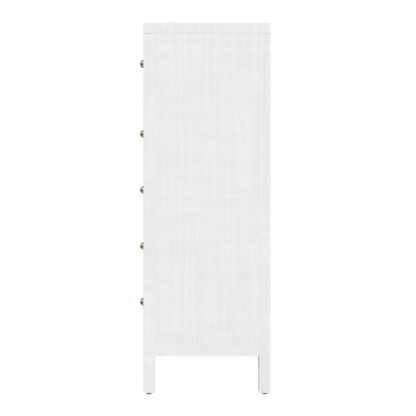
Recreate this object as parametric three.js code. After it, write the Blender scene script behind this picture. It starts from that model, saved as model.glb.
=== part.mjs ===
// Tall chest of five drawers: square posts that run down into legs, frame-and-panel sides, a thick flush top,
// and inset drawers that slide on wooden runner boards. Boards and posts are wrapped in white woven fibre.
// Millimetres, +Z up. The front faces -Y, and left is -X. The origin is on the floor, under the middle of the
// whole chest, knobs included.

import * as THREE from "three";

// ---- Overall sizes ----
const WIDTH = 914; // over the posts, left to right
const CASE_DEPTH = 452; // over the posts, front to back, without the knobs
const TOP_THICKNESS = 38;
const LEG_CLEARANCE = 137; // floor to the underside of the aprons

// ---- Frame ----
const POST = 40; // side of the square posts, which end as the legs
const APRON_HEIGHT = 43;
const APRON_THICKNESS = 25;
const BOTTOM_RAIL_HEIGHT = 45; // front rail between the apron and the lowest drawer
const MID_RAIL_HEIGHT = 43; // front rail under the top drawer
const SIDE_PANEL_THICKNESS = 18;
const SIDE_PANEL_SETBACK = 2; // behind the outer faces of the posts
const BACK_PANEL_THICKNESS = 9;
const BACK_PANEL_SETBACK = 6;

// ---- Drawer fronts ----
const LOWER_DRAWERS = 4; // equal drawers below the mid rail
const FRONT_HEIGHT = 197;
const TOP_FRONT_HEIGHT = 205.7;
const FRONT_THICKNESS = 20;
const FRONT_GAP = 3; // all round each front
const DRAWER_RECESS = 14; // the fronts lie this far behind the posts' front faces
const STOP_CLEARANCE = 9; // behind a closed front, before the runner boards begin

// ---- Drawer boxes ----
const BOX_SIDE_THICKNESS = 12;
const BOX_BACK_THICKNESS = 12;
const BOX_BOTTOM_THICKNESS = 6;
const BOX_BOTTOM_LIFT = 10; // from the lower edge of the sides to the bottom panel
const BOX_BACK_DROP = 6; // the back is this much lower than the sides
const BOX_SIDE_CLEARANCE = 6; // between a box and the posts that it passes
const BOX_REAR_CLEARANCE = 30; // between a closed box and the back panel

// ---- Runner boards and kickers ----
const BOARD_THICKNESS = 16;
const BOARD_OVERLAP = 6.5; // a board's top lies this far above the lower edge of its drawer's front
const GUIDE_HEIGHT = 15; // strips that steer the box sides
const GUIDE_CLEARANCE = 1.7; // between a box side and its guide strip
const KICKER_WIDTH = 46; // strips over the box sides that stop an open drawer tipping
const RUNNER_CLEARANCE = 0.5; // a box over its runner board
const KICKER_CLEARANCE = 6; // a box under the board or kicker above it

// ---- Knobs and floor glides ----
const KNOB_PROJECTION = 26; // from the drawer front to the knob's tip
const KNOB_RADIUS = 13.3;
const KNOB_DOME = 12; // depth of the half ellipse in front of the widest ring
const KNOB_NECK_RADIUS = 5.5;
const KNOB_BASE_RADIUS = 8;
const KNOB_BASE_DEPTH = 2.2;
const KNOB_PLACE = 0.25; // share of the front's width from its ends to each knob
const GLIDE_HEIGHT = 4;
const GLIDE_RADIUS = 9;
const GLIDE_FOOT_RADIUS = 5.5; // flat part that stands on the floor

// ---- Making ----
const JOINT_GAP = 0.3; // between pieces that are glued or screwed face to face
const CORNER_RADIUS = 4.5; // rounding that the wrap gives to the edges along a piece
const EDGE_RADIUS = 2.5; // rounding of its other edges
const ROUND_STEPS = 2; // facets in each rounded edge
const TURNED_FACETS = 16; // facets round a knob or a glide
const DOME_STEPS = 4;

// ---- Places worked out from the sizes ----
const knobProud = KNOB_PROJECTION - DRAWER_RECESS;
const frontY = -(CASE_DEPTH + knobProud) / 2 + knobProud;
const backY = frontY + CASE_DEPTH;
const sideX = WIDTH / 2;
const openingX = sideX - POST; // half the clear width between the posts
const panelInnerX = sideX - SIDE_PANEL_SETBACK - SIDE_PANEL_THICKNESS;
const backPanelY = backY - BACK_PANEL_SETBACK - BACK_PANEL_THICKNESS;
const railDepth = Math.max(POST, DRAWER_RECESS + FRONT_THICKNESS + STOP_CLEARANCE);

const apronTop = LEG_CLEARANCE + APRON_HEIGHT;
const bottomRailTop = apronTop + JOINT_GAP + BOTTOM_RAIL_HEIGHT;
const lowerPitch = FRONT_HEIGHT + FRONT_GAP;
const midRailBottom = bottomRailTop + FRONT_GAP + LOWER_DRAWERS * lowerPitch;
const midRailTop = midRailBottom + MID_RAIL_HEIGHT;
const topUnderside = midRailTop + TOP_FRONT_HEIGHT + 2 * FRONT_GAP;
const topFrontBottom = midRailTop + FRONT_GAP;

const frontFaceY = frontY + DRAWER_RECESS;
const frontRearY = frontFaceY + FRONT_THICKNESS;
const boxX = openingX - BOX_SIDE_CLEARANCE; // outer faces of the drawer boxes
const boxRearY = backPanelY - BOX_REAR_CLEARANCE;
const boxLift = BOARD_OVERLAP + RUNNER_CLEARANCE; // a box's lower edge above its front's lower edge
const boxHeight = lowerPitch - BOARD_THICKNESS - RUNNER_CLEARANCE - KICKER_CLEARANCE;
const boardX = panelInnerX - JOINT_GAP;
const boardY = [frontY + railDepth + JOINT_GAP, backY - POST - JOINT_GAP];

// ---- Finishes ----
const finish = (color, roughness, metalness = 0) =>
  new THREE.MeshStandardMaterial({ color, roughness, metalness });
const wrapFinish = finish(0xebebeb, 0.7);
const boxWoodFinish = finish(0xd8bd92, 0.6);
const plywoodFinish = finish(0xcfb58c, 0.75);
const brassFinish = finish(0xa8925c, 0.3, 1);
const glideFinish = finish(0x3b3b3d, 0.6);

// ---- Shapes ----

// A block with every edge rounded, centred on the origin. Its four upright edges have the larger radius.
function wrappedBlock(width, depth, height) {
  const [x, y, r] = [width / 2, depth / 2, Math.min(CORNER_RADIUS, width / 4, depth / 4)];
  const outline = new THREE.Shape();
  outline.absarc(x - r, y - r, r, 0, Math.PI / 2);
  outline.absarc(r - x, y - r, r, Math.PI / 2, Math.PI);
  outline.absarc(r - x, r - y, r, Math.PI, 1.5 * Math.PI);
  outline.absarc(x - r, r - y, r, 1.5 * Math.PI, 2 * Math.PI);
  const bevel = Math.min(EDGE_RADIUS, 0.6 * r);
  const solid = new THREE.ExtrudeGeometry(outline, {
    depth: height - 2 * bevel,
    bevelThickness: bevel,
    bevelSize: bevel,
    bevelOffset: -bevel,
    bevelSegments: ROUND_STEPS,
    curveSegments: ROUND_STEPS,
  });
  return solid.translate(0, 0, bevel - height / 2);
}

// The same block with the larger radius round the outline of its front face.
function wrappedFace(width, thickness, height) {
  return wrappedBlock(width, height, thickness).rotateX(Math.PI / 2);
}

function plainBoard(width, depth, height) {
  return new THREE.BoxGeometry(width, depth, height);
}

// A solid turned about Z from a profile of [radius, height] pairs that starts and ends on the axis.
function turned(profile) {
  const points = profile.map(([radius, height]) => new THREE.Vector2(radius, height));
  return new THREE.LatheGeometry(points, TURNED_FACETS).rotateX(Math.PI / 2);
}

// A mesh that fills the given spans, made by one of the block functions above.
function piece(name, material, makeBlock, x, y, z) {
  const mesh = new THREE.Mesh(makeBlock(x[1] - x[0], y[1] - y[0], z[1] - z[0]), material);
  mesh.name = name;
  mesh.position.set((x[0] + x[1]) / 2, (y[0] + y[1]) / 2, (z[0] + z[1]) / 2);
  return mesh;
}

// The span on one side of the chest, from an inner to an outer distance: side is -1 for left and 1 for right.
const spanOn = (side, inner, outer) => (side < 0 ? [-outer, -inner] : [inner, outer]);
const bothSides = [["left", -1], ["right", 1]];

// ---- The case ----

function makeFrame() {
  const frame = new THREE.Group();
  const between = [JOINT_GAP - openingX, openingX - JOINT_GAP];
  const apronZ = [LEG_CLEARANCE, apronTop];
  const panelZ = [apronTop + JOINT_GAP, topUnderside - JOINT_GAP];
  const betweenPostsY = [frontY + POST + JOINT_GAP, backY - POST - JOINT_GAP];
  frame.add(piece("top_panel", wrapFinish, wrappedBlock,
    [-sideX, sideX], [frontY, backY], [topUnderside, topUnderside + TOP_THICKNESS]));
  for (const [word, side] of bothSides) {
    const postX = spanOn(side, openingX, sideX);
    const postZ = [GLIDE_HEIGHT, topUnderside - JOINT_GAP];
    frame.add(piece(`front_${word}_post`, wrapFinish, wrappedBlock, postX, [frontY, frontY + POST], postZ));
    frame.add(piece(`back_${word}_post`, wrapFinish, wrappedBlock, postX, [backY - POST, backY], postZ));
    frame.add(piece(`${word}_side_panel`, wrapFinish, wrappedBlock,
      spanOn(side, panelInnerX, panelInnerX + SIDE_PANEL_THICKNESS), betweenPostsY, panelZ));
    frame.add(piece(`${word}_apron`, wrapFinish, wrappedBlock,
      spanOn(side, sideX - APRON_THICKNESS, sideX), betweenPostsY, apronZ));
  }
  frame.add(piece("front_apron", wrapFinish, wrappedBlock, between, [frontY, frontY + APRON_THICKNESS], apronZ));
  frame.add(piece("back_apron", wrapFinish, wrappedBlock, between, [backY - APRON_THICKNESS, backY], apronZ));
  frame.add(piece("bottom_rail", wrapFinish, wrappedBlock,
    between, [frontY, frontY + railDepth], [apronTop + JOINT_GAP, bottomRailTop]));
  frame.add(piece("mid_rail", wrapFinish, wrappedBlock,
    between, [frontY, frontY + railDepth], [midRailBottom, midRailTop]));
  frame.add(piece("back_panel", wrapFinish, wrappedFace,
    between, [backPanelY, backPanelY + BACK_PANEL_THICKNESS], panelZ));
  return frame;
}

// A board that a drawer runs on, with its two guide strips. kickerDrop adds strips below it, which reach down to
// the box of the drawer underneath where the board itself is too high to hold that box down.
function makeRunnerBoard(name, topZ, kickerDrop = 0) {
  const guideX = boxX + GUIDE_CLEARANCE;
  const kickerX = boardX - KICKER_WIDTH;
  const lowZ = -BOARD_THICKNESS - kickerDrop;
  const kickerSteps = kickerDrop > 0
    ? [[-kickerX, lowZ], [-kickerX, -BOARD_THICKNESS], [kickerX, -BOARD_THICKNESS], [kickerX, lowZ]]
    : [];
  const outline = [
    [boardX, lowZ], [boardX, GUIDE_HEIGHT], [guideX, GUIDE_HEIGHT], [guideX, 0],
    [-guideX, 0], [-guideX, GUIDE_HEIGHT], [-boardX, GUIDE_HEIGHT], [-boardX, lowZ],
    ...kickerSteps,
  ];
  const section = new THREE.Shape(outline.map(([x, z]) => new THREE.Vector2(x, z)));
  const length = boardY[1] - boardY[0];
  const solid = new THREE.ExtrudeGeometry(section, { depth: length, bevelEnabled: false });
  const mesh = new THREE.Mesh(solid.rotateX(Math.PI / 2), plywoodFinish);
  mesh.name = name;
  mesh.position.set(0, boardY[1], topZ);
  return mesh;
}

function makeKicker(word, side) {
  const topBoxTop = topFrontBottom + boxLift + boxHeight;
  return piece(`top_kicker_${word}`, plywoodFinish, plainBoard,
    spanOn(side, boardX - KICKER_WIDTH, boardX), boardY,
    [topBoxTop + KICKER_CLEARANCE, topUnderside - JOINT_GAP]);
}

// A nail-on glide under one leg: a low dome with a flat foot.
function makeGlide(name, x, y) {
  const top = GLIDE_HEIGHT - JOINT_GAP;
  const profile = [
    [0, 0], [GLIDE_FOOT_RADIUS, 0], [0.9 * GLIDE_RADIUS, 0.3 * top], [GLIDE_RADIUS, 0.7 * top],
    [GLIDE_RADIUS, top], [0, top],
  ];
  const mesh = new THREE.Mesh(turned(profile), glideFinish);
  mesh.name = name;
  mesh.position.set(x, y, 0);
  return mesh;
}

// ---- One drawer, in a group whose origin is at the lower edge of its front ----

// A mushroom knob: base collar, neck and a domed head, turned about the screw's line.
function makeKnob(name, x, z) {
  const rim = KNOB_PROJECTION - KNOB_DOME;
  const headBack = rim - 0.2 * KNOB_RADIUS;
  const profile = [
    [0, JOINT_GAP], [KNOB_BASE_RADIUS, JOINT_GAP], [KNOB_BASE_RADIUS, KNOB_BASE_DEPTH],
    [KNOB_NECK_RADIUS, 2 * KNOB_BASE_DEPTH], [KNOB_NECK_RADIUS, headBack - 1.2], [0.8 * KNOB_RADIUS, headBack],
    [0.95 * KNOB_RADIUS, headBack + 1],
  ];
  for (let step = 0; step <= DOME_STEPS; step += 1) {
    const angle = (step / DOME_STEPS) * (Math.PI / 2);
    const radius = step === DOME_STEPS ? 0 : KNOB_RADIUS * Math.cos(angle);
    profile.push([radius, rim + KNOB_DOME * Math.sin(angle)]);
  }
  const mesh = new THREE.Mesh(turned(profile).rotateX(Math.PI / 2), brassFinish);
  mesh.name = name;
  mesh.position.set(x, frontFaceY, z);
  return mesh;
}

function makeDrawer(number, frontBottom, frontHeight) {
  const drawer = new THREE.Group();
  const name = (word) => `drawer_${number}_${word}`;
  const frontX = openingX - FRONT_GAP;
  const innerX = boxX - BOX_SIDE_THICKNESS;
  const withinSides = [JOINT_GAP - innerX, innerX - JOINT_GAP];
  const boxY = [frontRearY + JOINT_GAP, boxRearY];
  const bottomZ = boxLift + BOX_BOTTOM_LIFT;
  const bottomTop = bottomZ + BOX_BOTTOM_THICKNESS;
  drawer.add(piece(name("front"), wrapFinish, wrappedFace,
    [-frontX, frontX], [frontFaceY, frontRearY], [0, frontHeight]));
  for (const [word, side] of bothSides) {
    drawer.add(piece(name(`${word}_side`), boxWoodFinish, plainBoard,
      spanOn(side, innerX, boxX), boxY, [boxLift, boxLift + boxHeight]));
    const knobX = side * frontX * (1 - 2 * KNOB_PLACE);
    drawer.add(makeKnob(name(`${word}_knob`), knobX, frontHeight / 2));
  }
  drawer.add(piece(name("back"), boxWoodFinish, plainBoard, withinSides,
    [boxRearY - BOX_BACK_THICKNESS, boxRearY], [bottomTop + JOINT_GAP, boxLift + boxHeight - BOX_BACK_DROP]));
  drawer.add(piece(name("bottom"), plywoodFinish, plainBoard, withinSides, boxY, [bottomZ, bottomTop]));
  drawer.position.z = frontBottom;
  return drawer;
}

// ---- Assembly ----

const chest = new THREE.Group();
chest.add(makeFrame());

const legX = sideX - POST / 2;
for (const [word, side] of bothSides) {
  chest.add(makeKicker(word, side));
  chest.add(makeGlide(`front_${word}_glide`, side * legX, frontY + POST / 2));
  chest.add(makeGlide(`back_${word}_glide`, side * legX, backY - POST / 2));
}

// Drawer 1 is the top one. The board under it also holds down the box of drawer 2.
const highestLowerBottom = midRailBottom - lowerPitch;
const boxTwoTop = highestLowerBottom + boxLift + boxHeight;
const topBoardZ = topFrontBottom + BOARD_OVERLAP;
const topBoardDrop = topBoardZ - BOARD_THICKNESS - boxTwoTop - KICKER_CLEARANCE;
chest.add(makeRunnerBoard("runner_board_1", topBoardZ, topBoardDrop));
chest.add(makeDrawer(1, topFrontBottom, TOP_FRONT_HEIGHT));

for (let row = 0; row < LOWER_DRAWERS; row += 1) {
  const frontBottom = highestLowerBottom - row * lowerPitch;
  const lowest = row === LOWER_DRAWERS - 1;
  chest.add(makeRunnerBoard(lowest ? "bottom_board" : `runner_board_${row + 2}`, frontBottom + BOARD_OVERLAP));
  chest.add(makeDrawer(row + 2, frontBottom, FRONT_HEIGHT));
}

export default chest;
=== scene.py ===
"""Looks of a tall chest of drawers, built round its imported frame.

Every size is in metres. The front faces -Y, left is -X and +Z is up, as in the frame.
"""

import logging
import math
import random
from dataclasses import dataclass, field
from enum import Enum

import bmesh
import bpy
from mathutils import Matrix, Vector


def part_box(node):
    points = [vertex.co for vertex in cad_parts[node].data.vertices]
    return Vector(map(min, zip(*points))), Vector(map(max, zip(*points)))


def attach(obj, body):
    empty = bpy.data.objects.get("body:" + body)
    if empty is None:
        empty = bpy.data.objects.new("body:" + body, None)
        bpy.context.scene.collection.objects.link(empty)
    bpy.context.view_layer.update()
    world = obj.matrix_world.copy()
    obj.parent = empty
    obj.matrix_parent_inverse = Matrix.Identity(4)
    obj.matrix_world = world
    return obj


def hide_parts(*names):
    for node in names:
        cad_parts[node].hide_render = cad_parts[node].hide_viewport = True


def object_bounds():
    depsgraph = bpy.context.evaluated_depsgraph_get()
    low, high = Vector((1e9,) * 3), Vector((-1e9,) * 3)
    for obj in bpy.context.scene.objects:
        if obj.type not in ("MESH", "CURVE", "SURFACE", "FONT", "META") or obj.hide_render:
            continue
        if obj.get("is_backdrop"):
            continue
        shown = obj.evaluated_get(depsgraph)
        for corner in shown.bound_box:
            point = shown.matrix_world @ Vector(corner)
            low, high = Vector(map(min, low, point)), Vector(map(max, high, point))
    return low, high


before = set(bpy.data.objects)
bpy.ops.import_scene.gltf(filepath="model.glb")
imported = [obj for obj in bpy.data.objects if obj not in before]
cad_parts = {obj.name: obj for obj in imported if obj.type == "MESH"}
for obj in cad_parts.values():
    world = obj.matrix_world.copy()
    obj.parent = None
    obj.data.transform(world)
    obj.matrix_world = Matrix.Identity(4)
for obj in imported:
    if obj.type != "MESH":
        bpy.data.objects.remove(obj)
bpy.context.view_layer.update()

log = logging.getLogger("chest")
MM = 0.001
UV_NAME = "UVMap"
SEED = 11
SHARPEST = 0.08 * MM


# ---------------------------------------------------------------- node graphs


@dataclass
class Wire:
    """An output socket that can be used in arithmetic."""

    graph: "Graph"
    socket: bpy.types.NodeSocket

    def _math(self, operation: str, first: object, second: object) -> "Wire":
        """Adds one Math node and returns its result."""
        return self.graph.add("ShaderNodeMath", {"operation": operation}, {0: first, 1: second})

    def __add__(self, other: object) -> "Wire":
        """Returns self + other."""
        return self._math("ADD", self, other)

    def __radd__(self, other: object) -> "Wire":
        """Returns other + self."""
        return self._math("ADD", other, self)

    def __sub__(self, other: object) -> "Wire":
        """Returns self - other."""
        return self._math("SUBTRACT", self, other)

    def __rsub__(self, other: object) -> "Wire":
        """Returns other - self."""
        return self._math("SUBTRACT", other, self)

    def __mul__(self, other: object) -> "Wire":
        """Returns self * other."""
        return self._math("MULTIPLY", self, other)

    def __rmul__(self, other: object) -> "Wire":
        """Returns other * self."""
        return self._math("MULTIPLY", other, self)

    def __lt__(self, other: object) -> "Wire":
        """Returns 1 where self < other, else 0."""
        return self._math("LESS_THAN", self, other)

    def absolute(self) -> "Wire":
        """Returns the size of self without its sign."""
        return self._math("ABSOLUTE", self, 0.0)

    def sine(self) -> "Wire":
        """Returns the sine of self, in radians."""
        return self._math("SINE", self, 0.0)

    def output(self, name: str) -> "Wire":
        """Returns another output of the same node."""
        return Wire(self.graph, self.socket.node.outputs[name])


@dataclass
class Graph:
    """A node tree under construction."""

    tree: bpy.types.NodeTree

    def add(self, kind: str, settings: dict | None = None, inputs: dict | None = None,
            output: int | str = 0) -> Wire:
        """Adds a node.

        Args:
            kind: The node's type name.
            settings: Its properties, set first. "stops" holds a ramp's (position, colour) pairs.
            inputs: Values or wires, by the input's number, identifier or name.
            output: The output to return, by number or name.

        Returns:
            The chosen output.
        """
        node = self.tree.nodes.new(kind)
        for name, value in (settings or {}).items():
            if name == "stops":
                self._set_stops(node.color_ramp, value)
            else:
                setattr(node, name, value)
        for key, value in (inputs or {}).items():
            socket = self._find(node.inputs, key)
            if isinstance(value, Wire):
                self.tree.links.new(value.socket, socket)
            else:
                socket.default_value = value
        return Wire(self, self._find(node.outputs, output) if len(node.outputs) else None)

    @staticmethod
    def _find(sockets: bpy.types.bpy_prop_collection, key: int | str) -> bpy.types.NodeSocket:
        """Finds a socket.

        Args:
            sockets: A node's inputs or outputs.
            key: The socket's number, identifier or name.

        Returns:
            The socket.
        """
        if isinstance(key, int):
            return sockets[key]
        for socket in sockets:
            if socket.identifier == key:
                return socket
        return sockets[key]

    @staticmethod
    def _set_stops(ramp: bpy.types.ColorRamp, stops: list) -> None:
        """Gives a colour ramp exactly these stops.

        Args:
            ramp: The ramp.
            stops: Its (position, colour) pairs.
        """
        while len(ramp.elements) > 1:
            ramp.elements.remove(ramp.elements[-1])
        for number, (position, colour) in enumerate(stops):
            element = ramp.elements[0] if number == 0 else ramp.elements.new(position)
            element.position = position
            element.color = (*colour, 1.0)

    def mix(self, factor: object, first: object, second: object) -> Wire:
        """Mixes two colours.

        Args:
            factor: The second colour's share.
            first: A colour, as (r, g, b) or a wire.
            second: Another.

        Returns:
            The mixed colour.
        """
        padded = [(*c, 1.0) if isinstance(c, tuple) else c for c in (first, second)]
        return self.add("ShaderNodeMix", {"data_type": "RGBA"},
                        {"Factor_Float": factor, "A_Color": padded[0], "B_Color": padded[1]},
                        "Result_Color")

    def scaled(self, vector: Wire, scale: tuple[float, float, float],
               shift: tuple[float, float, float] = (0.0, 0.0, 0.0)) -> Wire:
        """Returns vector * scale + shift, each along its own axis."""
        return self.add("ShaderNodeVectorMath", {"operation": "MULTIPLY_ADD"},
                        {0: vector, 1: scale, 2: shift})

    def noise(self, vector: Wire, scale: float = 1.0, detail: float = 2.0,
              roughness: float = 0.5) -> Wire:
        """Returns smooth noise from 0 to 1."""
        return self.add("ShaderNodeTexNoise", {"noise_dimensions": "3D"},
                        {"Vector": vector, "Scale": scale, "Detail": detail, "Roughness": roughness})

    def smooth(self, value: Wire, low: float, high: float) -> Wire:
        """Returns 0 below low and 1 above high, with a smooth step between."""
        return self.add("ShaderNodeMapRange", {"interpolation_type": "SMOOTHSTEP"},
                        {"Value": value, "From Min": low, "From Max": high})


# ---------------------------------------------------------------- finishes


@dataclass(frozen=True)
class Finish:
    """A finish with a name and one cached material."""

    name: str
    slot: str

    def material(self) -> bpy.types.Material:
        """Makes the finish's material on the first call.

        Returns:
            The material.
        """
        found = bpy.data.materials.get(self.name)
        if found is not None:
            return found
        made = bpy.data.materials.new(self.name)
        made.use_nodes = True
        made.node_tree.nodes.clear()
        graph = Graph(made.node_tree)
        shader = graph.add("ShaderNodeBsdfPrincipled", inputs=self.surface(graph))
        graph.add("ShaderNodeOutputMaterial", inputs={"Surface": shader})
        return made

    def surface(self, graph: Graph) -> dict:
        """Returns the Principled shader's inputs."""
        raise NotImplementedError

    @staticmethod
    def pattern(graph: Graph) -> Wire:
        """Returns the piece's own map: across the fibres, along the fibres, in metres."""
        return graph.add("ShaderNodeUVMap", {"uv_map": UV_NAME})

    @staticmethod
    def relief(graph: Graph, height: Wire, depth: float, strength: float = 1.0) -> Wire:
        """Returns a normal bent by a height map.

        Args:
            graph: The graph to add to.
            height: The height, where 1 is as high as depth.
            depth: The relief's depth in metres.
            strength: How much of the bend is used.

        Returns:
            The normal.
        """
        return graph.add("ShaderNodeBump", inputs={
            "Strength": strength, "Distance": depth, "Height": height})


@dataclass(frozen=True)
class WovenWrap(Finish):
    """Fine plant fibre laid side by side on cloth, glued round a board and lacquered white.

    fibre, slub, reed, band and drift are the sizes of the weave's patches, across and along the fibres.
    """

    base: float = 0.872
    contrast: float = 0.056
    fibre: tuple[float, float] = (1.4 * MM, 50 * MM)
    slub: tuple[float, float] = (9.5 * MM, 15 * MM)
    reed: tuple[float, float] = (12 * MM, 450 * MM)
    band: tuple[float, float] = (1 / 4, 1 / 22)
    drift: tuple[float, float] = (1 / 160, 1 / 30)
    thread_pitch: float = 3.6 * MM
    strand_pitch: float = 1.5 * MM
    depth: float = 0.4 * MM

    @staticmethod
    def _patches(graph: Graph, uv: Wire, size: tuple[float, float], start: tuple[float, float] = (0, 0),
                 detail: float = 2.0, roughness: float = 0.5) -> Wire:
        """Returns smooth patches of one size.

        Args:
            graph: The graph to add to.
            uv: The piece's own map.
            size: A patch's size across and along the fibres, in metres.
            start: Where in the noise the map begins.
            detail: How many finer layers lie over the patches.
            roughness: How strong those layers are.

        Returns:
            Noise from 0 to 1.
        """
        across, along = size
        spread = graph.scaled(uv, (1 / across, 1 / along, 0), (*start, 0))
        return graph.noise(spread, detail=detail, roughness=roughness)

    def surface(self, graph: Graph) -> dict:
        """Works out the weave's tone, gloss and relief.

        Args:
            graph: The graph to add to.

        Returns:
            The Principled shader's inputs.
        """
        uv = self.pattern(graph)
        fibres = self._patches(graph, uv, self.fibre, detail=3)
        slubs = self._patches(graph, uv, self.slub, (7.3, 2.1), detail=3, roughness=0.6)
        bands = self._patches(graph, uv, self.band, (1.7, 9.2))
        reeds = self._patches(graph, uv, self.reed, (3.1, 4.4), detail=1)
        wander = self._patches(graph, uv, self.drift, detail=1)
        along = graph.add("ShaderNodeSeparateXYZ", inputs={0: uv}, output="Y")
        across = along.output("X")
        threads = (along * (math.tau / self.thread_pitch) + wander * 5.0).sine()
        strands = (across * (math.tau / self.strand_pitch) + wander * 3.0 + fibres * 4.0).sine()
        streaks = graph.smooth(slubs, 0.3, 0.7)
        tone = ((streaks - 0.5) * 0.42 + (fibres - 0.5) * 0.3 + (bands - 0.5) * 1.7
                + (reeds - 0.5) * 2.1)
        level = tone * self.contrast + strands * 0.008 + threads * 0.004 + self.base
        colour = graph.add("ShaderNodeCombineColor", inputs={0: level, 1: level, 2: level})
        height = strands * 0.22 + fibres * 0.4 + streaks * 0.35 + threads * 0.1
        return {
            "Base Color": colour,
            "Roughness": 0.66 - (fibres - 0.5) * 0.35,
            "Normal": self.relief(graph, height, self.depth, 0.8),
            "Specular IOR Level": 0.3,
            "Coat Weight": 0.05,
            "Coat Roughness": 0.45,
        }


@dataclass(frozen=True)
class SawnWood(Finish):
    """Light hardwood with a clear satin lacquer."""

    light: tuple[float, float, float] = (0.70, 0.52, 0.33)
    dark: tuple[float, float, float] = (0.50, 0.33, 0.18)
    pore: tuple[float, float, float] = (0.36, 0.22, 0.12)
    roughness: float = 0.48
    rings_per_metre: float = 210 / math.tau

    def surface(self, graph: Graph) -> dict:
        """Works out the wood's rings, figure and pores.

        Args:
            graph: The graph to add to.

        Returns:
            The Principled shader's inputs.
        """
        uv = self.pattern(graph)
        warp = graph.noise(graph.scaled(uv, (9, 1.3, 0)), detail=3, roughness=0.6)
        across = graph.add("ShaderNodeSeparateXYZ", inputs={0: uv}, output="X")
        rings = ((across * (math.tau * self.rings_per_metre) + warp * 34).sine() + 1) * 0.5
        figure = graph.noise(graph.scaled(uv, (240, 5, 0)), detail=4, roughness=0.6)
        pores = graph.smooth(graph.noise(graph.scaled(uv, (1700, 60, 0)), detail=1), 0.63, 0.75)
        tone = rings * 0.22 + figure * 0.78
        colour = graph.mix(pores * 0.55, graph.mix(tone, self.light, self.dark), self.pore)
        return {
            "Base Color": colour,
            "Roughness": figure * 0.16 + self.roughness,
            "Normal": self.relief(graph, figure * 0.5 - pores * 0.5, 0.12 * MM, 0.6),
            "Coat Weight": 0.1,
            "Coat Roughness": 0.35,
        }


@dataclass(frozen=True)
class LayeredBoard(SawnWood):
    """Plywood: the same wood in thin crossed layers that show on its edges."""

    layer: float = 1.5 * MM
    roughness: float = 0.6

    def surface(self, graph: Graph) -> dict:
        """Works out the wood, and the layers on its edges.

        Args:
            graph: The graph to add to.

        Returns:
            The Principled shader's inputs.
        """
        inputs = super().surface(graph)
        place = graph.add("ShaderNodeTexCoord", output="Object")
        height = graph.add("ShaderNodeSeparateXYZ", inputs={0: place}, output="Z")
        normal = graph.add("ShaderNodeNewGeometry", output="Normal")
        up = graph.add("ShaderNodeSeparateXYZ", inputs={0: normal}, output="Z").absolute()
        layers = graph.smooth((height * (math.pi / self.layer)).sine(), -0.25, 0.25)
        edge = (up < 0.5) * layers
        inputs["Base Color"] = graph.mix(edge * 0.6, inputs["Base Color"], self.pore)
        return inputs


@dataclass(frozen=True)
class AgedBrass(Finish):
    """Turned brass, waxed and slightly darkened."""

    clean: tuple[float, float, float] = (0.76, 0.65, 0.44)
    dull: tuple[float, float, float] = (0.46, 0.38, 0.24)

    def surface(self, graph: Graph) -> dict:
        """Works out the brass's turning marks and patina.

        Args:
            graph: The graph to add to.

        Returns:
            The Principled shader's inputs.
        """
        place = graph.add("ShaderNodeTexCoord", output="Object")
        cloud = graph.noise(graph.scaled(place, (160, 160, 160)), detail=4, roughness=0.6)
        turning = graph.noise(graph.scaled(place, (60, 5200, 60)), detail=1)
        patina = graph.smooth(cloud, 0.38, 0.72)
        return {
            "Base Color": graph.mix(patina * 0.6, self.clean, self.dull),
            "Metallic": 1.0,
            "Roughness": patina * 0.14 + turning * 0.06 + 0.13,
            "Normal": self.relief(graph, turning * 0.3 + cloud * 0.7, 0.03 * MM, 0.5),
        }


@dataclass(frozen=True)
class PlatedSteel(Finish):
    """Zinc-plated steel of screws and nails."""

    def surface(self, graph: Graph) -> dict:
        """Works out the plating's crystals.

        Args:
            graph: The graph to add to.

        Returns:
            The Principled shader's inputs.
        """
        place = graph.add("ShaderNodeTexCoord", output="Object")
        spangle = graph.noise(graph.scaled(place, (900, 900, 900)), detail=3)
        return {
            "Base Color": graph.mix(spangle, (0.62, 0.63, 0.65), (0.42, 0.42, 0.43)),
            "Metallic": 1.0,
            "Roughness": spangle * 0.25 + 0.25,
            "Normal": self.relief(graph, spangle, 0.02 * MM, 0.4),
        }


@dataclass(frozen=True)
class MouldedPlastic(Finish):
    """Dark plastic with a fine mould texture, scuffed where it rubs the floor."""

    body: tuple[float, float, float] = (0.035, 0.035, 0.038)
    scuff: tuple[float, float, float] = (0.11, 0.11, 0.115)

    def surface(self, graph: Graph) -> dict:
        """Works out the plastic's texture and scuffed foot.

        Args:
            graph: The graph to add to.

        Returns:
            The Principled shader's inputs.
        """
        place = graph.add("ShaderNodeTexCoord", output="Object")
        grain = graph.noise(graph.scaled(place, (2500, 2500, 2500)), detail=2)
        height = graph.add("ShaderNodeSeparateXYZ", inputs={0: place}, output="Z")
        worn = (1 - graph.smooth(height, 0.0, 1.2 * MM)) * grain
        return {
            "Base Color": graph.mix(worn, self.body, self.scuff),
            "Roughness": grain * 0.2 + 0.5,
            "Normal": self.relief(graph, grain, 0.03 * MM, 0.5),
        }


WRAP = WovenWrap("white_woven_wrap", "wrap")
WOOD = SawnWood("light_hardwood", "box_wood")
PLYWOOD = LayeredBoard("light_plywood", "plywood")
BRASS = AgedBrass("aged_brass", "brass")
PLASTIC = MouldedPlastic("dark_plastic", "glide")
STEEL = PlatedSteel("plated_steel", "")
END_GRAIN = SawnWood("hardwood_end_grain", "box_wood", (0.52, 0.36, 0.21), (0.36, 0.23, 0.12))


# ---------------------------------------------------------------- meshes


class Axis(Enum):
    """The way a bar runs."""

    X = 0
    Y = 1
    Z = 2


class Fibre(Enum):
    """The way the fibres lie on a bar."""

    ALONG = "along"
    AROUND = "around"


def blank() -> tuple[bmesh.types.BMesh, bmesh.types.BMLayerItem]:
    """Returns an empty mesh and its pattern map."""
    made = bmesh.new()
    return made, made.loops.layers.uv.new(UV_NAME)


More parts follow.
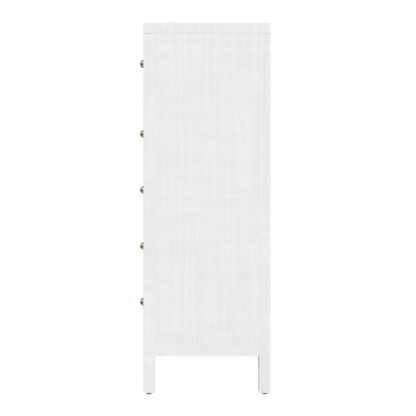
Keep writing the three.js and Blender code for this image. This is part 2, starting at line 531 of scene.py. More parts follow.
def prism(outline: list[tuple[float, float]], low: float,
          high: float) -> tuple[bmesh.types.BMesh, bmesh.types.BMLayerItem]:
    """Makes an upright solid with flat ends.

    Args:
        outline: Its corners, seen from above, anticlockwise.
        low: Its lower end.
        high: Its upper end.

    Returns:
        A closed mesh and its empty pattern map.
    """
    made, layer = blank()
    lower = [made.verts.new((x, y, low)) for x, y in outline]
    upper = [made.verts.new((x, y, high)) for x, y in outline]
    made.faces.new(lower[::-1])
    made.faces.new(upper)
    for n in range(len(outline)):
        m = (n + 1) % len(outline)
        made.faces.new((lower[n], lower[m], upper[m], upper[n]))
    return made, layer


def soften(made: bmesh.types.BMesh, radius: float) -> None:
    """Rounds every edge of a mesh."""
    bmesh.ops.bevel(made, geom=made.edges[:], offset=radius, segments=2, profile=0.5,
                    affect="EDGES", clamp_overlap=True)


@dataclass
class Bar:
    """A straight bar or board with rounded edges.

    low and high are its corners. edge is the radius of the four long edges, end that of the edges
    round its two ends, and corners, where given, the radius of each long edge by itself.
    """

    low: Vector
    high: Vector
    axis: Axis
    edge: float
    end: float
    fibre: Fibre = Fibre.ALONG
    corners: tuple[float, float, float, float] | None = None
    steps: int = 5

    def _section(self, inset: float) -> list[tuple[float, float]]:
        """Draws the outline across the bar.

        Args:
            inset: How far the outline is drawn in.

        Returns:
            Its points, in order.
        """
        a, b = self._cross_axes()
        low = (self.low[a] + inset, self.low[b] + inset)
        high = (self.high[a] - inset, self.high[b] - inset)
        radii = self.corners or (self.edge,) * 4
        places = ((1, 1), (0, 1), (0, 0), (1, 0))
        points = []
        for number, (radius, (right, top)) in enumerate(zip(radii, places)):
            r = max(radius - inset, SHARPEST)
            centre = (high[0] - r if right else low[0] + r, high[1] - r if top else low[1] + r)
            for step in range(self.steps + 1):
                angle = (number + step / self.steps) * math.pi / 2
                points.append((centre[0] + r * math.cos(angle), centre[1] + r * math.sin(angle)))
        return points

    def _cross_axes(self) -> tuple[int, int]:
        """Returns the numbers of the two axes across the bar."""
        return tuple(n for n in range(3) if n != self.axis.value)

    def _place(self, along: float, point: tuple[float, float]) -> Vector:
        """Finds a point of the bar.

        Args:
            along: Its place along the bar.
            point: Its place across the bar.

        Returns:
            The point in space.
        """
        a, b = self._cross_axes()
        place = Vector((0, 0, 0))
        place[self.axis.value], place[a], place[b] = along, *point
        return place

    def _rings(self) -> list[tuple[float, float, float]]:
        """Works out the rings of points that round both ends.

        Returns:
            Each ring's place along the bar, its inset, and the length covered so far.
        """
        start, stop = self.low[self.axis.value], self.high[self.axis.value]
        half_steps = max(2, self.steps - 1)
        rounding = []
        for step in range(half_steps + 1):
            angle = step / half_steps * math.pi / 2
            rounding.append((self.end * (1 - math.cos(angle)), self.end * (1 - math.sin(angle)),
                             self.end * angle))
        first = [(start + s, inset, covered) for s, inset, covered in rounding]
        total = stop - start
        last = [(stop - s, inset, total + self.end * (math.pi - 2) - covered)
                for s, inset, covered in reversed(rounding)]
        return first + last

    def mesh(self, shift: tuple[float, float] = (0.0, 0.0)) -> bmesh.types.BMesh:
        """Builds the bar.

        Args:
            shift: Moves the pattern, so that no two pieces show the same stretch of it.

        Returns:
            A closed mesh with its pattern map.
        """
        made, layer = blank()
        outline = self._section(0.0)
        reach = [0.0]
        for here, following in zip(outline, outline[1:] + outline[:1]):
            reach.append(reach[-1] + math.dist(here, following))
        rings = self._rings()
        rows = [[made.verts.new(self._place(along, p)) for p in self._section(inset)]
                for along, inset, _ in rings]
        count = len(outline)
        for k in range(len(rings) - 1):
            for n in range(count):
                m = (n + 1) % count
                face = made.faces.new((rows[k][n], rows[k][m], rows[k + 1][m], rows[k + 1][n]))
                corners = ((n, k), (n + 1, k), (n + 1, k + 1), (n, k + 1))
                for loop, (i, j) in zip(face.loops, corners):
                    u, v = reach[i], rings[j][2]
                    if self.fibre is Fibre.AROUND:
                        u, v = v, u
                    loop[layer].uv = (u + shift[0], v + shift[1])
        for row in (rows[0], rows[-1]):
            face = made.faces.new(row)
            a, b = self._cross_axes()
            for loop in face.loops:
                loop[layer].uv = (loop.vert.co[a] + shift[0], loop.vert.co[b] + shift[1])
        bmesh.ops.recalc_face_normals(made, faces=made.faces)
        return made


def turned(profile: list[tuple[float, float]], turns: int = 40) -> bmesh.types.BMesh:
    """Turns a profile about the Z axis.

    Args:
        profile: (radius, height) pairs that start and end on the axis.
        turns: How many facets go round.

    Returns:
        A closed mesh with its pattern map.
    """
    made, layer = blank()
    rows = []
    for radius, height in profile:
        if radius < 1e-7:
            rows.append([made.verts.new((0, 0, height))])
            continue
        rows.append([made.verts.new((radius * math.cos(math.tau * n / turns),
                                     radius * math.sin(math.tau * n / turns), height))
                     for n in range(turns)])
    for low, high in zip(rows, rows[1:]):
        for n in range(turns):
            m = (n + 1) % turns
            corners = [low[n % len(low)], low[m % len(low)], high[m % len(high)], high[n % len(high)]]
            unique = list(dict.fromkeys(corners))
            face = made.faces.new(unique)
            for loop in face.loops:
                loop[layer].uv = (loop.vert.co.x, loop.vert.co.y)
    bmesh.ops.recalc_face_normals(made, faces=made.faces)
    return made


def arc(centre: tuple[float, float], radii: tuple[float, float], start: float, stop: float,
        steps: int) -> list[tuple[float, float]]:
    """Draws part of an ellipse.

    Args:
        centre: Its centre.
        radii: Its two radii.
        start: The first angle, in degrees.
        stop: The last angle.
        steps: How many straight steps stand for the arc.

    Returns:
        The points, both ends included.
    """
    angles = [math.radians(start + (stop - start) * n / steps) for n in range(steps + 1)]
    return [(centre[0] + radii[0] * math.cos(t), centre[1] + radii[1] * math.sin(t)) for t in angles]


def row(start: Vector, stop: Vector, count: int) -> list[Vector]:
    """Returns evenly spaced places from start to stop, both included."""
    return [start.lerp(stop, n / max(count - 1, 1)) for n in range(count)]


@dataclass
class Scatter:
    """A node tree that sets copies of one small item at many places.

    Each place has the direction that the item's own Z axis faces. turn is the most that a copy is
    turned about that axis, by chance, from a fixed seed.
    """

    name: str
    item: bmesh.types.BMesh
    finish: "Finish"
    turn: float = 0.0
    size: float = 1.0
    places: list[Vector] = field(default_factory=list)
    facings: list[Vector] = field(default_factory=list)

    def put(self, places: list[Vector], facing: tuple[float, float, float]) -> "Scatter":
        """Adds places whose items all face the same way.

        Args:
            places: The places.
            facing: The way that the items' own Z axis faces.

        Returns:
            The scatter itself.
        """
        self.places += places
        self.facings += [Vector(facing)] * len(places)
        return self

    def _tree(self) -> bpy.types.NodeTree:
        """Builds the node tree.

        Returns:
            A tree with named inputs for its places, item, size, turn, seed and finish.
        """
        tree = bpy.data.node_groups.new(self.name, "GeometryNodeTree")
        kinds = {"Places": "Geometry", "Item": "Object", "Size": "Float", "Turn": "Float",
                 "Seed": "Int", "Finish": "Material"}
        for label, kind in kinds.items():
            tree.interface.new_socket(label, in_out="INPUT", socket_type=f"NodeSocket{kind}")
        tree.interface.new_socket("Geometry", in_out="OUTPUT", socket_type="NodeSocketGeometry")
        graph = Graph(tree)
        given = graph.add("NodeGroupInput", output="Places")
        facing = graph.add("GeometryNodeInputNamedAttribute", {"data_type": "FLOAT_VECTOR"},
                           {"Name": "facing"}, "Attribute")
        aligned = graph.add("FunctionNodeAlignRotationToVector", {"axis": "Z"}, {"Vector": facing})
        item = graph.add("GeometryNodeObjectInfo", inputs={"Object": given.output("Item")},
                         output="Geometry")
        copies = graph.add("GeometryNodeInstanceOnPoints", inputs={
            "Points": given, "Instance": item, "Rotation": aligned, "Scale": given.output("Size")})
        chance = graph.add("FunctionNodeRandomValue", {"data_type": "FLOAT"}, {
            "Min_001": 0.0, "Max_001": given.output("Turn"), "Seed": given.output("Seed")}, "Value_001")
        spin = graph.add("ShaderNodeCombineXYZ", inputs={"Z": chance})
        turned_copies = graph.add("GeometryNodeRotateInstances", inputs={
            "Instances": copies, "Rotation": spin, "Local Space": True})
        real = graph.add("GeometryNodeRealizeInstances", inputs={"Geometry": turned_copies})
        dressed = graph.add("GeometryNodeSetMaterial", inputs={
            "Geometry": real, "Material": given.output("Finish")})
        graph.add("NodeGroupOutput", inputs={"Geometry": dressed})
        return tree

    def mesh(self) -> bpy.types.Mesh:
        """Runs the tree once.

        Returns:
            One plain mesh of all the copies.
        """
        item_mesh = bpy.data.meshes.new(f"{self.name}_item")
        self.item.to_mesh(item_mesh)
        self.item.free()
        item_mesh.shade_smooth()
        item = bpy.data.objects.new(f"{self.name}_item", item_mesh)
        spots = bpy.data.meshes.new(f"{self.name}_places")
        spots.from_pydata([tuple(place) for place in self.places], [], [])
        facing = spots.attributes.new("facing", "FLOAT_VECTOR", "POINT")
        facing.data.foreach_set("vector", [number for way in self.facings for number in way])
        holder = bpy.data.objects.new(f"{self.name}_places", spots)
        bpy.context.scene.collection.objects.link(holder)
        tree = self._tree()
        modifier = holder.modifiers.new("copies", "NODES")
        modifier.node_group = tree
        values = {"Item": item, "Size": self.size, "Turn": self.turn, "Seed": SEED,
                  "Finish": self.finish.material()}
        for socket in tree.interface.items_tree:
            if socket.name in values:
                modifier[socket.identifier] = values[socket.name]
        graph = bpy.context.evaluated_depsgraph_get()
        made = bpy.data.meshes.new_from_object(holder.evaluated_get(graph), depsgraph=graph)
        bpy.data.objects.remove(holder)
        bpy.data.objects.remove(item)
        return made

    def build(self, body: str) -> bpy.types.Object:
        """Makes the copies into one piece on a body."""
        return SHOP.finish(self.name, self.mesh(), self.finish, body, even=False)


def screw_head(radius: float, height: float, washer: float = 0.0) -> bmesh.types.BMesh:
    """Makes a pan head with a cross recess, its underside at the origin, facing up Z.

    Args:
        radius: The head's radius.
        height: The head's height.
        washer: The radius of a washer under it, or 0 for none.

    Returns:
        A closed mesh.
    """
    sunk, sides = 0.3 * MM, 24
    lift = 1.2 * MM if washer else 0.0
    top = lift + height
    profile = [(0.0, -sunk), (radius * 0.9, -sunk)]
    if washer:
        profile = [(0.0, -sunk), (washer, -sunk), (washer, lift - sunk), (washer - sunk, lift),
                   (radius * 1.02, lift)]
    profile += arc((radius * 0.55, lift), (radius * 0.45, height), 5, 80, 5)
    profile += [(radius * 0.5, top), (radius * 0.3, top), (radius * 0.15, top), (0.0, top)]
    made = turned(profile, sides)
    for vert in made.verts:
        reach = math.hypot(vert.co.x, vert.co.y)
        quarter = round(math.degrees(math.atan2(vert.co.y, vert.co.x))) % 90
        in_slots = reach < radius * 0.55 and quarter == 0
        in_middle = reach < radius * 0.2
        beside_slots = reach < radius * 0.4 and quarter in (15, 75)
        if vert.co.z > lift + height * 0.95 and (in_slots or in_middle or beside_slots):
            vert.co.z -= height * 0.5
    return made


def wedge_key(length: float, narrow: float, wide: float, depth: float) -> bmesh.types.BMesh:
    """Makes one dovetail's end: a wedge plate, centred, lying along X and facing up Z.

    Args:
        length: From the narrow to the wide end.
        narrow: Its width at the narrow end.
        wide: Its width at the wide end.
        depth: Its thickness, most of it below the surface.

    Returns:
        A closed mesh.
    """
    proud = 0.12 * MM
    corners = [(-length / 2, -narrow / 2), (length / 2, -wide / 2), (length / 2, wide / 2),
               (-length / 2, narrow / 2)]
    made, layer = prism(corners, proud - depth, proud)
    for face in made.faces:
        for loop in face.loops:
            loop[layer].uv = (loop.vert.co.y * 2.5, loop.vert.co.x * 0.5)
    return made


def corner_block(leg: float, height: float) -> bmesh.types.BMesh:
    """Makes a glue block with its right angle at the origin and its sharp corners cut off.

    Args:
        leg: Its length along +X and along +Y.
        height: Its height.

    Returns:
        A closed mesh.
    """
    nib = 0.18 * leg
    made, layer = prism([(0, 0), (leg, 0), (leg, nib), (nib, leg), (0, leg)], 0.0, height)
    soften(made, 0.8 * MM)
    for face in made.faces:
        for loop in face.loops:
            loop[layer].uv = (loop.vert.co.z, loop.vert.co.x - loop.vert.co.y)
    return made


# ---------------------------------------------------------------- pieces


class Shop:
    """Turns meshes into finished pieces and keeps count of them."""

    def __init__(self) -> None:
        """Starts with no pieces and a fixed seed."""
        self.random = random.Random(SEED)
        self.count = 0

    def shift(self) -> tuple[float, float]:
        """Returns a new place in the pattern."""
        return (self.random.uniform(0, 50), self.random.uniform(0, 50))

    def finish(self, name: str, made: bmesh.types.BMesh | bpy.types.Mesh, finish: Finish, body: str,
               nodes: tuple[str, ...] = (), even: bool = True) -> bpy.types.Object:
        """Makes one piece and sets what it rides on.

        Args:
            name: The piece's name.
            made: Its mesh, in place.
            finish: Its finish.
            body: The body that it rides on.
            nodes: The frame's nodes that it takes the place of; they are hidden.
            even: Whether flat faces stay evenly shaded up to their rounded edges.

        Returns:
            The piece.
        """
        if isinstance(made, bmesh.types.BMesh):
            mesh = bpy.data.meshes.new(name)
            made.to_mesh(mesh)
            made.free()
        else:
            mesh = made
        mesh.materials.clear()
        mesh.materials.append(finish.material())
        mesh.shade_smooth()
        piece = bpy.data.objects.new(name, mesh)
        bpy.context.scene.collection.objects.link(piece)
        if even:
            modifier = piece.modifiers.new("even shading", "WEIGHTED_NORMAL")
            modifier.weight = 100
        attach(piece, body)
        if nodes:
            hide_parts(*nodes)
        self.count += 1
        log.info("%s: %d faces on %s, %s", name, len(mesh.polygons), body, finish.name)
        return piece

    def bar(self, node: str, axis: Axis, finish: Finish, body: str, edge: float, end: float,
            fibre: Fibre = Fibre.ALONG, corners: tuple[float, float, float, float] | None = None,
            grow: tuple[Vector, Vector] | None = None) -> bpy.types.Object:
        """Makes a rounded bar in the place of one of the frame's nodes, and hides that node.

        Args:
            node: The frame's node.
            axis: The way the bar runs.
            finish: Its finish.
            body: The body that it rides on.
            edge: The radius of its long edges.
            end: The radius of the edges round its ends.
            fibre: The way its fibres lie.
            corners: The radius of each long edge, where they differ.
            grow: How far its low and high corners are let out, to close a joint.

        Returns:
            The piece.
        """
        low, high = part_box(node)
        if grow:
            low, high = low + grow[0], high + grow[1]
        made = Bar(low, high, axis, edge, end, fibre, corners).mesh(self.shift())
        return self.finish(f"{node}_{finish.slot}", made, finish, body, (node,))


SHOP = Shop()
CASE = "case"
SIDES = ("left", "right")
DRAWERS = 5


@dataclass
class CaseFrame:
    """The top, posts, panels, aprons and rails, all wrapped.

    closing is how far a piece is let out at its joints, and panel_rise how far a side panel is let out
    towards the posts' outer faces.
    """

    edge: float = 1.3 * MM
    joint_edge: float = 0.15 * MM
    closing: float = 0.28 * MM
    panel_rise: float = 1.85 * MM
    post_inner_edge: float = 0.6 * MM

    def build(self) -> None:
        """Makes every wrapped piece of the case."""
        SHOP.bar("top_panel", Axis.X, WRAP, CASE, self.edge, self.edge)
        sharp = self.joint_edge
        tight = Vector((0, self.closing, self.closing / 2))
        rise = Vector((self.panel_rise, 0, 0))
        along_x, along_y = Vector((self.closing, 0, 0)), Vector((0, self.closing, 0))
        for side in SIDES:
            for end in ("front", "back"):
                SHOP.bar(f"{end}_{side}_post", Axis.Z, WRAP, CASE, self.edge, sharp,
                         corners=self._post_corners(side, end))
            out = (-tight, tight + rise) if side == "right" else (-tight - rise, tight)
            SHOP.bar(f"{side}_side_panel", Axis.Z, WRAP, CASE, sharp, sharp, grow=out)
            SHOP.bar(f"{side}_apron", Axis.Y, WRAP, CASE, sharp, sharp, Fibre.AROUND,
                     grow=(-along_y, along_y))
        for node in ("front_apron", "back_apron", "bottom_rail", "mid_rail"):
            SHOP.bar(node, Axis.X, WRAP, CASE, self.edge, sharp, Fibre.AROUND, grow=(-along_x, along_x))
        SHOP.bar("back_panel", Axis.Z, WRAP, CASE, self.edge, sharp)

    def _post_corners(self, side: str, end: str) -> tuple[float, float, float, float]:
        """Chooses the radius of a post's four upright edges: the one beside the side panel is sharper.

        Args:
            side: Left or right.
            end: Front or back.

        Returns:
            The radii, in the order that Bar takes them.
        """
        is_right, is_back = side == "right", end == "back"
        places = ((True, True), (False, True), (False, False), (True, False))
        return tuple(self.post_inner_edge if (right == is_right and back != is_back) else self.edge
                     for right, back in places)


@dataclass
class RunnerSet:
    """The boards that the drawers run on, with their strips."""

    boards: int = 4
    board_edge: float = 0.6 * MM
    kicker_edge: float = 0.8 * MM

    def build(self) -> None:
        """Makes the runner boards, the bottom board and the kickers."""
        for number in range(1, self.boards + 1):
            self._board(f"runner_board_{number}")
        self._board("bottom_board")
        for side in SIDES:
            SHOP.bar(f"top_kicker_{side}", Axis.Y, PLYWOOD, CASE, self.kicker_edge, self.kicker_edge)

    def _board(self, node: str) -> None:
        """Rebuilds one board from its solid, with a pattern map and softened edges.

        Args:
            node: The frame's node.
        """
        made = bmesh.new()
        made.from_mesh(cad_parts[node].data)
        bmesh.ops.remove_doubles(made, verts=made.verts, dist=1e-6)
        bmesh.ops.dissolve_limit(made, angle_limit=math.radians(1), verts=made.verts, edges=made.edges)
        soften(made, self.board_edge)
        for layer in list(made.loops.layers.uv.values()):
            made.loops.layers.uv.remove(layer)
        layer = made.loops.layers.uv.new(UV_NAME)
        shift = SHOP.shift()
        for face in made.faces:
            for loop in face.loops:
                across = loop.vert.co.x if abs(face.normal.x) < 0.5 else loop.vert.co.z
                loop[layer].uv = (loop.vert.co.y + shift[0], across + shift[1])
        SHOP.finish(f"{node}_plywood", made, PLYWOOD, CASE, (node,))


@dataclass
class Knob:
    """A turned brass mushroom knob with a base collar, a neck and a ridge behind its dome."""

    dome: float = 12 * MM
    neck: float = 5.2 * MM
    collar: float = 8 * MM
    seat: float = 0.3 * MM

    def profile(self, radius: float, reach: float) -> list[tuple[float, float]]:
        """Returns the outline from the drawer front to the tip.

        Args:
            radius: The dome's radius.
            reach: From the drawer front to the tip.

        Returns:
            (radius, height) pairs that start and end on the axis.
        """
        rim = reach - self.dome
        lip = 0.9 * MM
        bead = 0.5 * MM
        cove, flare = 1.6 * MM, 3.4 * MM
        points = [(0.0, self.seat), (self.collar - bead, self.seat)]
        points += arc((self.collar - bead, 1.0 * MM), (bead, 0.7 * MM), -90, 90, 5)
        points += arc((self.neck + cove, 3.4 * MM), (cove, 1.7 * MM), 270, 180, 6)
        points += arc((self.neck + flare, rim - 5.2 * MM), (flare, 2.6 * MM), 180, 90, 6)
        points += [(radius - 2.2 * MM, rim - 2.3 * MM)]
        points += arc((radius - lip, rim - 1.1 * MM), (lip, 1.0 * MM), -90, 40, 6)
        points += arc((0.0, rim), (radius - 0.35 * MM, self.dome), 2, 90, 16)[:-1]
        return points + [(0.0, reach)]

    def build(self, node: str, body: str) -> None:
        """Makes one knob where the frame has it.

        Args:
            node: The frame's node.
            body: The drawer that it rides on.
        """
        low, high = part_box(node)
        middle = (low + high) / 2
        front = high.y + self.seat
        made = turned(self.profile((high.x - low.x) / 2, front - low.y), 48)
        place = Matrix.Translation((middle.x, front, middle.z)) @ Matrix.Rotation(math.pi / 2, 4, "X")
        bmesh.ops.transform(made, matrix=place, verts=made.verts)
        SHOP.finish(f"{node}_brass", made, BRASS, body, (node,), even=False)


@dataclass
class Glide:
    """A low plastic glide nailed under a leg, with a dished nail hole in its foot."""

    foot_share: float = 0.6
    shoulder_share: float = 0.62
    hole_depth: float = 0.5 * MM
    hole_radius: float = 1.4 * MM
    chamfer: float = 0.3 * MM

    def build(self, node: str) -> None:
        """Makes one glide where the frame has it.

        Args:
            node: The frame's node.
        """
        low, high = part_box(node)
        radius, height = (high.x - low.x) / 2, high.z - low.z
        foot, shoulder = self.foot_share * radius, self.shoulder_share * height
        dish = self.hole_radius + 0.4 * MM
        profile = [(0.0, self.hole_depth), (self.hole_radius, self.hole_depth), (dish, 0.0), (foot, 0.0)]
        profile += arc((foot, shoulder), (radius - foot, shoulder), -80, 0, 8)
        profile += [(radius, height - self.chamfer), (radius - self.chamfer, height)]
        made = turned(profile + [(0.0, height)], 36)
        middle = (low + high) / 2
        bmesh.ops.translate(made, vec=(middle.x, middle.y, low.z), verts=made.verts)
        SHOP.finish(f"{node}_plastic", made, PLASTIC, CASE, (node,), even=False)


@dataclass
class Drawer:
    """One drawer: a wrapped front on a light wooden box, with its joints and screws."""

    number: int
    board_edge: float = 1.0 * MM
    board_end: float = 0.6 * MM
    front_edge: float = 1.3 * MM
    bottom_edge: float = 0.4 * MM
    tails: int = 6
    tail_narrow: float = 9 * MM
    tail_wide: float = 14 * MM
    tail_margin: float = 18 * MM
    bottom_nails: int = 9
    nail_inset: float = 30 * MM
    pad_radius: float = 2.7 * MM
    pad_reach: float = 8.4 * MM
    pad_lift: float = 3.3 * MM

    def build(self) -> None:
        """Makes the drawer's pieces."""
        body = f"drawer_{self.number}"
        SHOP.bar(f"{body}_front", Axis.Z, WRAP, body, self.front_edge, self.front_edge)
        for side in SIDES:
            SHOP.bar(f"{body}_{side}_side", Axis.Y, WOOD, body, self.board_edge, self.board_end)
            Knob().build(f"{body}_{side}_knob", body)
        SHOP.bar(f"{body}_back", Axis.X, WOOD, body, self.board_edge, self.board_end)
        SHOP.bar(f"{body}_bottom", Axis.X, PLYWOOD, body, self.bottom_edge, self.bottom_edge)
        self._tail_ends(body)
        self._screws(body)
        self._stop_pads(body)

    def _tail_ends(self, body: str) -> None:
        """Shows the dovetails' ends on the outer faces of both sides, at the back corners.

        Args:
            body: The drawer's body.
        """
        back_low, back_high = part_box(f"{body}_back")
        length = back_high.y - back_low.y
        middle = back_high.y - length / 2
        for side, way in zip(SIDES, (-1, 1)):
            low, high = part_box(f"{body}_{side}_side")
            x = high.x if way > 0 else low.x
            item = wedge_key(length, self.tail_narrow, self.tail_wide, 1.0 * MM)
            turn = Matrix.Rotation(way * math.pi / 2, 4, "Z")
            bmesh.ops.transform(item, matrix=turn, verts=item.verts)
            places = row(Vector((x, middle, back_low.z + self.tail_margin)),
                         Vector((x, middle, back_high.z - self.tail_margin)), self.tails)
            Scatter(f"{body}_{side}_tail_ends", item, END_GRAIN).put(places, (way, 0, 0)).build(body)

    def _screws(self, body: str) -> None:
        """Sets the knobs' screws behind the front, on washers, and the nails under the bottom.

        Args:
            body: The drawer's body.
        """
        _, front_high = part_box(f"{body}_front")
        knobs = Scatter(f"{body}_knob_screws", screw_head(4.2 * MM, 2.4 * MM, 8 * MM), STEEL, math.pi)
        for side in SIDES:
            low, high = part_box(f"{body}_{side}_knob")
            middle = (low + high) / 2
            knobs.put([Vector((middle.x, front_high.y, middle.z))], (0, 1, 0))
        knobs.build(body)
        back_low, back_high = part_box(f"{body}_back")
        bottom_low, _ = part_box(f"{body}_bottom")
        y = (back_low.y + back_high.y) / 2
        line = row(Vector((back_low.x + self.nail_inset, y, bottom_low.z)),
                   Vector((back_high.x - self.nail_inset, y, bottom_low.z)), self.bottom_nails)
        nails = Scatter(f"{body}_bottom_nails", screw_head(2.2 * MM, 0.8 * MM), STEEL, math.pi)
        nails.put(line, (0, 0, -1)).build(body)

    def _stop_pads(self, body: str) -> None:
        """Sets two soft pads behind the front's lower edge, which meet the board when it closes.

        Args:
            body: The drawer's body.
        """
        low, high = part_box(f"{body}_front")
        rounding = 1 * MM
        shoulder = self.pad_reach - rounding
        profile = [(0.0, 0.0), (self.pad_radius, 0.0), (self.pad_radius, shoulder)]
        profile += arc((self.pad_radius - rounding, shoulder), (rounding, rounding), 15, 90, 5)
        pads = Scatter(f"{body}_stop_pads", turned(profile + [(0.0, self.pad_reach)], 20), PLASTIC)
        for side in SIDES:
            side_low, side_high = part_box(f"{body}_{side}_side")
            x = (side_low.x + side_high.x) / 2
            pads.put([Vector((x, high.y, low.z + self.pad_lift))], (0, 1, 0))
        pads.build(body)


@dataclass
class CaseFixings:
    """The screws and glue blocks that hold the case together."""

    margin: float = 12 * MM
    panel_pitch: float = 125 * MM
    head: float = 3.6 * MM
    head_height: float = 1.8 * MM
    kicker_screws: int = 4
    kicker_margin: float = 14 * MM
    kicker_inset: float = 40 * MM
    block_leg: float = 46 * MM
    block_height: float = 32 * MM
    block_drop: float = 3 * MM
    glue_gap: float = 0.3 * MM

    def build(self) -> None:
        """Makes every fixing of the case."""
        self._back_panel_screws()
        self._kicker_screws()
        self._corner_blocks()

    def _back_panel_screws(self) -> None:
        """Screws the back panel on all round its edge."""
        low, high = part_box("back_panel")
        left, right = low.x + self.margin, high.x - self.margin
        bottom, top = low.z + self.margin, high.z - self.margin
        corners = [Vector((x, high.y, z))
                   for x, z in ((left, bottom), (right, bottom), (right, top), (left, top))]
        places = []
        for here, following in zip(corners, corners[1:] + corners[:1]):
            count = round((following - here).length / self.panel_pitch) + 1
            places += row(here, following, count)[:-1]
        screws = Scatter("back_panel_screws", screw_head(self.head, self.head_height), STEEL, math.pi)
        screws.put(places, (0, 1, 0)).build(CASE)

    def _kicker_screws(self) -> None:
        """Screws the two top kickers up into the top."""
        screws = Scatter("kicker_screws", screw_head(self.head, self.head_height), STEEL, math.pi)
        for side in SIDES:
            low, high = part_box(f"top_kicker_{side}")
            x = high.x - self.kicker_margin if side == "right" else low.x + self.kicker_margin
            line = row(Vector((x, low.y + self.kicker_inset, low.z)),
                       Vector((x, high.y - self.kicker_inset, low.z)), self.kicker_screws)
            screws.put(line, (0, 0, -1))
        screws.build(CASE)

    def _corner_blocks(self) -> None:
        """Glues a block into each corner behind the aprons."""
        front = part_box("front_left_post")[1].y + self.glue_gap
        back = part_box("back_left_post")[0].y - self.glue_gap
        apron_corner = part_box("left_apron")[1]
        left = apron_corner.x + self.glue_gap
        low = apron_corner.z - self.block_drop - self.block_height
        blocks = bmesh.new()
        spare = bpy.data.meshes.new("block")
        for quarter, (x, y) in enumerate(((left, front), (-left, front), (-left, back), (left, back))):
            block = corner_block(self.block_leg, self.block_height)
            place = Matrix.Translation((x, y, low))
            turn = Matrix.Rotation(quarter * math.pi / 2, 4, "Z")
            bmesh.ops.transform(block, matrix=place @ turn, verts=block.verts)
            block.to_mesh(spare)
            block.free()
            blocks.from_mesh(spare)
        SHOP.finish("corner_blocks", blocks, WOOD, CASE)


# ---------------------------------------------------------------- stage


@dataclass
class SoftLight:
    """A far, broad light: the direction that it comes from, its strength and how broad it looks."""

    name: str
    toward: tuple[float, float, float]
    strength: float
    spread: float = 35.0

    def build(self) -> None:
        """Makes the light."""
        data = bpy.data.lights.new(self.name, "SUN")
        data.energy = self.strength
        data.angle = math.radians(self.spread)
        light = bpy.data.objects.new(self.name, data)
        light.visible_glossy = False
        light.rotation_euler = Vector(self.toward).to_track_quat("Z", "Y").to_euler()
        bpy.context.scene.collection.objects.link(light)


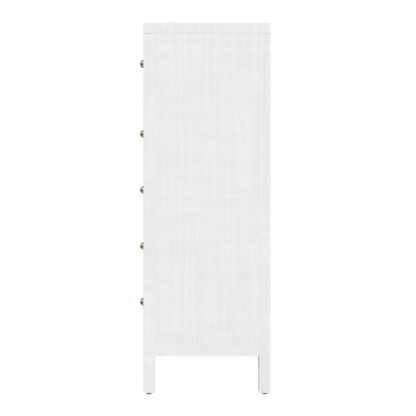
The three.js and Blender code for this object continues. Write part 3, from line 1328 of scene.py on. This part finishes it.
@dataclass
class Stage:
    """A pale floor, soft light and a camera almost square on to the chest's right side.

    frame_width is the width of the view at the chest's near side, and aim the Y and Z of its middle.
    surround is how brightly the white surroundings light the chest.
    """

    frame_width: float = 1.4785
    distance: float = 69.0
    sensor: float = 36.0
    aim: tuple[float, float] = (0.0098, 0.6622)
    turn: float = math.radians(0.12)
    surround: float = 0.73
    floor_reach: float = 30.0
    floor_tone: tuple[float, float, float] = (0.8, 0.8, 0.8)

    def build(self) -> None:
        """Makes the camera, world, lights and floor."""
        self._camera()
        self._world()
        self._floor()
        SoftLight("key_light", (0.85, 0.42, 0.32), 1.0).build()
        SoftLight("front_light", (-0.6, -0.72, 0.35), 0.42).build()
        scene = bpy.context.scene
        scene.view_settings.view_transform = "Standard"
        scene.view_settings.look = "None"

    def _camera(self) -> None:
        """Puts a very long lens far away, level with the middle of the chest."""
        near_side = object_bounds()[1].x
        data = bpy.data.cameras.new("camera")
        data.sensor_width = self.sensor
        data.lens = self.sensor * self.distance / self.frame_width
        data.clip_end = 2 * self.distance
        camera = bpy.data.objects.new("camera", data)
        target = Vector((near_side, *self.aim))
        away = Vector((math.cos(self.turn), -math.sin(self.turn), 0.0))
        camera.location = target + away * self.distance
        camera.rotation_euler = (math.pi / 2, 0, math.pi / 2 - self.turn)
        bpy.context.scene.collection.objects.link(camera)
        bpy.context.scene.camera = camera

    def _world(self) -> None:
        """Makes a white surround, with bright and dark bands for what shines to mirror."""
        world = bpy.data.worlds.new("studio")
        bpy.context.scene.world = world
        world.use_nodes = True
        world.node_tree.nodes.clear()
        graph = Graph(world.node_tree)
        ray = graph.add("ShaderNodeLightPath", output="Is Camera Ray")
        soft = (self.surround,) * 3
        seen = graph.mix(ray.output("Is Glossy Ray"), soft, self._mirrored(graph))
        seen = graph.mix(ray, seen, (1.0, 1.0, 1.0))
        background = graph.add("ShaderNodeBackground", inputs={"Color": seen, "Strength": 1.0})
        graph.add("ShaderNodeOutputWorld", inputs={"Surface": background})

    @staticmethod
    def _mirrored(graph: Graph) -> Wire:
        """Paints what shining pieces mirror: a lamp box high in front of the chest, in a dim warm room.

        Args:
            graph: The world's graph.

        Returns:
            The colour that comes from each direction.
        """
        floor, shade, far = (0.60, 0.56, 0.46), (0.15, 0.12, 0.08), (0.26, 0.22, 0.15)
        lamp, ceiling = (1.45, 1.42, 1.35), (0.20, 0.17, 0.13)
        direction = graph.add("ShaderNodeTexCoord", output="Generated")
        up = graph.add("ShaderNodeSeparateXYZ", inputs={0: direction}, output="Z")
        bands = graph.add("ShaderNodeValToRGB", {"stops": [
            (0.00, floor), (0.10, (0.52, 0.48, 0.38)), (0.26, shade), (0.53, (0.13, 0.10, 0.06)),
            (0.64, (0.45, 0.43, 0.38)), (0.72, lamp), (0.83, lamp), (0.90, (0.35, 0.32, 0.26)),
            (1.00, ceiling),
        ]}, {0: up * 0.5 + 0.5})
        ahead = graph.smooth(up.output("X") - up.output("Y"), -0.3, 0.4)
        return graph.mix(ahead, far, bands)

    def _floor(self) -> None:
        """Lays a matt floor that lights the chest from below and looks as white as the surround."""
        made = bmesh.new()
        bmesh.ops.create_grid(made, x_segments=1, y_segments=1, size=self.floor_reach)
        mesh = bpy.data.meshes.new("floor")
        made.to_mesh(mesh)
        made.free()
        material = bpy.data.materials.new("pale_floor")
        material.use_nodes = True
        material.node_tree.nodes.clear()
        graph = Graph(material.node_tree)
        soft = graph.add("ShaderNodeBsdfDiffuse", inputs={"Color": (*self.floor_tone, 1)})
        white = graph.add("ShaderNodeEmission", inputs={"Color": (1, 1, 1, 1), "Strength": 1.0})
        camera_ray = graph.add("ShaderNodeLightPath", output="Is Camera Ray")
        chosen = graph.add("ShaderNodeMixShader", inputs={0: camera_ray, 1: soft, 2: white})
        below = graph.add("ShaderNodeNewGeometry", output="Backfacing")
        clear = graph.add("ShaderNodeBsdfTransparent")
        one_sided = graph.add("ShaderNodeMixShader", inputs={0: below, 1: chosen, 2: clear})
        graph.add("ShaderNodeOutputMaterial", inputs={"Surface": one_sided})
        mesh.materials.append(material)
        floor = bpy.data.objects.new("floor", mesh)
        floor.visible_glossy = False
        bpy.context.scene.collection.objects.link(floor)
        floor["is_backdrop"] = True


def main() -> None:
    """Builds the chest piece by piece, then the stage."""
    logging.basicConfig(level=logging.INFO, format="%(name)s: %(message)s")
    Stage().build()
    CaseFrame().build()
    RunnerSet().build()
    for end in ("front", "back"):
        for side in SIDES:
            Glide().build(f"{end}_{side}_glide")
    CaseFixings().build()
    for number in range(1, DRAWERS + 1):
        Drawer(number).build()
    log.info("%d pieces", SHOP.count)


if __name__ == "__main__":
    main()
